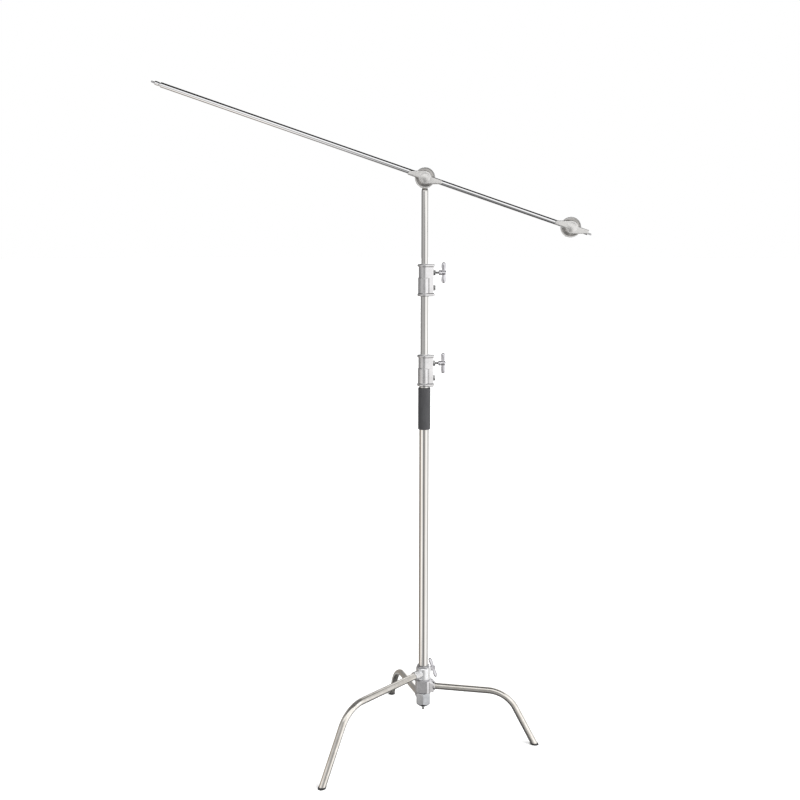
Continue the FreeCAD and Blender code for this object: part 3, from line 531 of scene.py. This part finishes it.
def leg_piece(name):
    """Bent leg tube, slightly flattened on the inside of its bend and cut level at the foot."""
    foot_low, foot_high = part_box(name + "_foot")
    low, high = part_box(name)
    sole = next(m for m in frame["record"]["mounts"] if m["name"] == name + "_sole")["pos_m"]
    out = Vector((sole[0], sole[1], 0)).normalized()
    reach = Vector((sole[0], sole[1], 0)).length
    radius = 11.0 * MM
    rake = math.radians(28.4)
    bend_r = 105.0 * MM
    height = high.z - radius
    start = min(v.co.dot(out) for v in frame["nodes"][name].data.vertices)
    corner = reach - height * math.tan(rake)
    bend = math.pi / 2 - rake
    tangent = bend_r * math.tan(bend / 2)
    centre = Vector((corner - tangent, height - bend_r))
    down = Vector((math.sin(rake), -math.cos(rake)))
    bend_end = Vector((corner, height)) + down * tangent
    path = [(Vector((x, height)), Vector((1, 0)), 0.0) for x in steps(start, corner - tangent, 12)]
    for a in steps(0, bend, 40)[1:]:
        spot = centre + bend_r * Vector((math.sin(a), math.cos(a)))
        path.append((spot, Vector((math.cos(a), -math.sin(a))), math.sin(math.pi * a / bend)))
    foot = Vector((reach, 0))
    last_round = foot - down * (2 * radius)
    path += [(bend_end + (last_round - bend_end) * t, down, 0.0) for t in steps(0, 1, 16)[1:]]
    path.append((foot, down, 0.0))
    floor_cut = 6.0 * MM
    segments = 72
    bm = bmesh.new()
    rows = []
    for spot, ahead, bent in path:
        side = Vector((-ahead.y, ahead.x))
        row = []
        for i in range(segments):
            angle = 2 * math.pi * i / segments
            lift = radius * math.cos(angle) * (1 - 0.035 * bent)
            across = radius * math.sin(angle)
            point = spot + side * lift
            if spot is foot:
                point = point + down * ((point.y - floor_cut) / math.cos(rake))
            row.append(bm.verts.new(out * point.x + out.cross(UP) * across + UP * point.y))
        rows.append(row)
    for first, second in zip(rows, rows[1:]):
        for i in range(segments):
            j = (i + 1) % segments
            bm.faces.new((first[i], first[j], second[j], second[i]))
    bm.faces.new(rows[0])
    bm.faces.new(rows[-1])
    return keep_piece(name + "_bent", bm, [name])


def rivet_piece(name):
    """Rivet with domed heads."""
    low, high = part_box(name + "_rivet")
    centre = (low + high) / 2
    radius = (high.x - low.x) / 2
    half = (high.z - low.z) / 2
    dome = 0.6 * MM
    profile = [(0, -half)]
    profile += [(radius * math.sin(a), -half + dome * (1 - math.cos(a))) for a in steps(0, math.pi / 2, 6)[1:]]
    profile += [(radius * math.cos(a), half - dome + dome * math.sin(a)) for a in steps(0, math.pi / 2, 6)[:-1]]
    profile.append((0, half))
    bm = bmesh.new()
    add_turned(bm, profile, Matrix.Translation(centre), 40)
    return keep_piece(name + "_rivet_domed", bm, [name + "_rivet"])


def make_base():
    for name in ("big_leg", "middle_leg", "small_leg"):
        leg_piece(name)
        rivet_piece(name)
        cast_piece(name + "_hub", 0.6 * MM, 4, 0.5)
        cast_piece(name + "_foot", 0.55 * MM, 4, 0.6)
    cast_piece("leg_lock_handle", 0.5 * MM, 6, 0.6)
    cast_piece("base_nut", 0.35 * MM, 3, 0.5)
    cast_piece("slide_bush", 0.5 * MM, 2, 0.35)
    stud_piece("leg_lock_stud", JOINTS["leg_lock_knob_turn"]["axis"])
    stud_piece("base_bolt", (0, 0, -1))


# ---------------------------------------------------------------- heads
def disc_piece(prefix, centre):
    """Front friction disc: toothed rim, raised border and a sunk ring in its face."""
    low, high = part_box(prefix + "_disc")
    radius = (high.z - low.z) / 2
    front = low.y - centre.y
    back = high.y - centre.y
    bore = 5.05 * MM
    teeth = 40
    sunk = 1.3 * MM
    step = 0.08 * MM
    profile = [(bore, front + sunk), (radius - 12.0 * MM, front + sunk)]
    profile += [(radius - 7.6 * MM, front + 0.58 * sunk), (radius - 7.4 * MM, front + 0.58 * sunk - step)]
    profile += [(radius - 4.4 * MM, front + 0.24 * sunk), (radius - 4.2 * MM, front + 0.24 * sunk - step)]
    profile += [(radius - 1.6 * MM, front), (radius - 0.9 * MM, front)]
    profile += [(radius, front + 0.9 * MM), (radius, back - 0.9 * MM), (radius - 0.9 * MM, back), (bore, back)]

    def rim(angle, _height, r):
        if r < radius - 1.0 * MM:
            return 0.0
        wave = (angle * teeth / (2 * math.pi)) % 1.0
        return 1.0 * MM * min(1.0, max(0.0, abs(wave - 0.5) * 5 - 1.25))

    bm = bmesh.new()
    add_turned(bm, profile, basis(centre, BACK, UP), teeth * 12, rim)
    piece = keep_piece(prefix + "_disc_turned", bm, [prefix + "_disc"], 40.0)
    piece.data.materials[0] = faced_metal(prefix + "_faced", centre, (0.66, 0.65, 0.64), (0.56, 0.55, 0.54), 0.10)
    return piece


def lock_screw_piece(prefix):
    """Small knurled screw."""
    node = prefix + "_lock_screw"
    place, low, high = axis_place(node, BACK, UP)
    box_low, box_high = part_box(node)
    radius = (box_high.x - box_low.x) / 2
    head = high - 9.4 * MM
    shank = 3.0 * MM
    profile = [(0, low), (shank, low), (shank, head), (radius - 0.6 * MM, head)]
    profile += [(radius, z) for z in steps(head + 0.6 * MM, high - 0.8 * MM, 14)]
    profile += [(radius - 0.8 * MM, high), (radius - 2.6 * MM, high), (radius - 3.0 * MM, high - 0.5 * MM)]
    profile.append((0, high - 0.5 * MM))

    def knurl(angle, height, r):
        if r < radius - 0.1 * MM:
            return 0.0
        turn = angle * 30 / (2 * math.pi)
        rise = height / (1.5 * MM)
        return 0.28 * MM * (abs(2 * ((turn + rise) % 1) - 1) + abs(2 * ((turn - rise) % 1) - 1))

    bm = bmesh.new()
    add_turned(bm, profile, place, 240, knurl)
    return keep_piece(node + "_knurled", bm, [node])


def bolt_piece(prefix, centre):
    """Centre bolt with its eye, as a soft forging."""
    node = prefix + "_bolt"
    bm = soft_copy(node, 0.45 * MM, 3, 0.5)
    return keep_piece(node + "_forged", bm, [node], 50.0)


def make_head(prefix, centre):
    cast_piece(prefix + "_jaw", 0.55 * MM, 26, 0.8)
    cast_piece(prefix + "_casting", 0.6 * MM, 4, 0.5)
    cast_piece(prefix + "_handle", 0.5 * MM, 6, 0.6)
    disc_piece(prefix, centre)
    lock_screw_piece(prefix)
    bolt_piece(prefix, centre)


# ---------------------------------------------------------------- arm
def arm_piece():
    node = "arm_rod"
    place, low, high = axis_place(node, ALONG, UP)
    radius = 7.95 * MM
    bore = 6.0 * MM
    edge = 0.8 * MM
    profile = [(bore, low), (radius - edge, low), (radius, low + edge), (radius, high - edge)]
    profile += [(radius - edge, high), (bore, high)]
    bm = bmesh.new()
    add_turned(bm, profile, place, 128)
    return keep_piece("arm_rod_drawn", bm, [node])


def arm_pins_piece():
    """The stepped pins in both ends of the arm, their small studs threaded."""
    place, low, high = axis_place("arm_rod", ALONG, UP)
    bm = bmesh.new()
    for end, way in ((high, 1), (low, -1)):
        tip = place @ Matrix.Translation((0, 0, end)) @ (Matrix() if way > 0 else Matrix.Rotation(math.pi, 4, "X"))
        neck, spigot, stud = 4.7 * MM, 6.1 * MM, 3.15 * MM
        profile = [(0, -25 * MM), (6.0 * MM, -25 * MM), (6.0 * MM, 0), (neck + 0.5 * MM, 0), (neck, 0.5 * MM)]
        profile += [(neck, 4.0 * MM), (neck + 0.5 * MM, 4.5 * MM), (spigot - 0.4 * MM, 4.5 * MM)]
        profile += [(spigot, 4.9 * MM), (spigot, 17.3 * MM), (spigot - 1.2 * MM, 18.7 * MM)]
        profile += [(stud - 0.5 * MM, 18.7 * MM), (0, 18.7 * MM)]
        add_turned(bm, profile, tip, 72)
        add_stud(bm, 18.2 * MM, 30.6 * MM, stud, tip, 1.27 * MM)
    return keep_piece("arm_pins_turned", bm, ["arm_pins"])


make_column()
for collar in ("lower_collar", "upper_collar"):
    make_collar(collar)
make_base()
for head, tilt in (("head_1", "arm_tilt"), ("head_2", "head_2_tilt")):
    spot = Vector(JOINTS[tilt]["pos_m"])
    spot.y = 0.0
    make_head(head, spot)
arm_piece()
arm_pins_piece()


# ---------------------------------------------------------------- stage, light and camera
def plain_surface(name, colour, variation):
    s = Shader(name)
    clouds = s.noise(s.place(), 0.8, 4.0)
    fine = s.noise(s.place(), 240.0, 3.0)
    tone = s.mix(clouds, tuple(c - variation for c in colour), colour)
    return s.finish(tone, 0.9, s.bump(fine, 0.03, 0.0005), 0.0, 0.1)


def make_floor():
    bm = bmesh.new()
    bmesh.ops.create_circle(bm, cap_ends=True, segments=96, radius=60.0)
    mesh = bpy.data.meshes.new("studio_floor")
    bm.to_mesh(mesh)
    bm.free()
    mesh.materials.append(plain_surface("studio_floor", (0.94, 0.94, 0.94), 0.01))
    floor = bpy.data.objects.new("studio_floor", mesh)
    bpy.context.scene.collection.objects.link(floor)
    floor.location.z = -0.0004
    floor.visible_glossy = False


def tent_material():
    """Bright and dark cards round the stand, told apart by heading and by height."""
    material = bpy.data.materials.new("tent_cards")
    material.use_nodes = True
    tree = material.node_tree
    tree.nodes.clear()
    s = Shader.__new__(Shader)
    s.material, s.tree = material, tree
    spot = s.add("ShaderNodeSeparateXYZ", Vector=s.add("ShaderNodeNewGeometry").outputs["Position"])
    x, y, z = (spot.outputs[i] for i in range(3))
    turn = s.math("ARCTAN2", x, s.math("MULTIPLY", y, -1.0))
    share = s.span(turn, -math.pi, math.pi)

    def ramp(*stops):
        node = s.add("ShaderNodeValToRGB", Fac=share)
        points = node.color_ramp.elements
        points[0].position, points[1].position = 0.0, 1.0
        for (degrees, grey, warm), point in zip((stops[0], stops[-1]), points):
            point.color = (grey * (1 + warm), grey, grey * (1 - warm), 1)
        for degrees, grey, warm in stops[1:-1]:
            points.new(degrees / 360 + 0.5).color = (grey * (1 + warm), grey, grey * (1 - warm), 1)
        return node.outputs["Color"]

    low = ramp((-180, 0.27, 0.08), (-112, 0.27, 0.10), (-82, 0.36, 0.13), (-68, 1.15, 0.05),
               (-43, 1.15, 0.03), (-31, 0.85, 0), (-15, 0.24, 0), (5, 0.22, 0), (17, 0.50, 0.03),
               (36, 1.05, 0.02), (60, 1.2, 0), (82, 1.2, 0), (92, 0.56, 0.02), (126, 0.56, 0.02),
               (140, 1.1, 0), (180, 1.1, 0))
    high = ramp((-180, 0.27, 0), (-105, 0.27, 0), (-78, 0.36, 0), (-58, 0.54, 0), (-25, 0.48, 0),
                (-6, 0.31, 0), (3, 0.33, 0), (17, 0.90, 0), (34, 1.15, 0), (82, 1.2, 0),
                (92, 0.58, 0), (126, 0.60, 0), (140, 1.1, 0), (180, 1.1, 0))
    under = ramp((-180, 0.5, 0), (-100, 0.34, 0), (-34, 0.34, 0), (-20, 0.40, 0), (20, 0.45, 0),
                 (36, 0.80, 0), (120, 0.9, 0), (180, 0.6, 0))
    behind = s.span(y, -1.45, -1.15)
    card = s.mix(s.span(z, 0.60, 0.95), low, high)
    card = s.mix(s.span(z, -0.60, -0.65), card, under)
    over = s.math("SUBTRACT", z, s.span(turn, -0.2, 0.1, 1.95, 1.68))
    front = s.math("MULTIPLY", s.span(over, 0.0, 0.15), s.span(y, -1.0, -1.3))
    card = s.mix(front, card, (1.12, 1.12, 1.11))
    card = s.mix(s.span(z, 2.45, 2.75), card, s.mix(behind, (1.2, 1.2, 1.2), (0.03, 0.03, 0.03)))
    card = s.mix(s.span(z, -0.88, -0.98), card, (0.03, 0.03, 0.03))
    glow = s.add("ShaderNodeEmission", Color=card, Strength=1.0)
    out = s.add("ShaderNodeOutputMaterial", Surface=glow.outputs[0])
    tree.nodes.active = out
    material.cycles.emission_sampling = "NONE"
    return material


def make_tent():
    """A closed tent round the stand that only reflections see."""
    bm = bmesh.new()
    bmesh.ops.create_uvsphere(bm, u_segments=64, v_segments=32, radius=2.6)
    mesh = bpy.data.meshes.new("light_tent")
    bm.to_mesh(mesh)
    bm.free()
    mesh.materials.append(tent_material())
    tent = bpy.data.objects.new("light_tent", mesh)
    bpy.context.scene.collection.objects.link(tent)
    tent.location.z = 1.2
    for sight in ("camera", "diffuse", "transmission", "volume_scatter", "shadow"):
        setattr(tent, "visible_" + sight, False)


def side_light():
    """A broad, low light from the right."""
    data = bpy.data.lights.new("side_light", "SUN")
    data.energy = 6.0
    data.angle = math.radians(65)
    lamp = bpy.data.objects.new("side_light", data)
    bpy.context.scene.collection.objects.link(lamp)
    lamp.rotation_euler = Vector((-0.8, 0.55, -0.28)).to_track_quat("-Z", "Y").to_euler()
    lamp.visible_camera = False
    lamp.visible_glossy = False


def make_studio():
    make_floor()
    make_tent()
    world = bpy.data.worlds.new("studio_world")
    bpy.context.scene.world = world
    world.use_nodes = True
    sky = world.node_tree.nodes["Background"]
    sky.inputs["Color"].default_value = (1.0, 1.0, 1.0, 1.0)
    sky.inputs["Strength"].default_value = 1.0
    side_light()
    bpy.context.scene.view_settings.view_transform = "Standard"

    data = bpy.data.cameras.new("camera")
    data.sensor_width = CAMERA_SENSOR
    data.lens = CAMERA_LENS
    camera = bpy.data.objects.new("camera", data)
    bpy.context.scene.collection.objects.link(camera)
    camera.location = CAMERA_PLACE
    camera.rotation_euler = (math.pi / 2 - CAMERA_PITCH, 0, CAMERA_YAW)
    bpy.context.scene.camera = camera


make_studio()
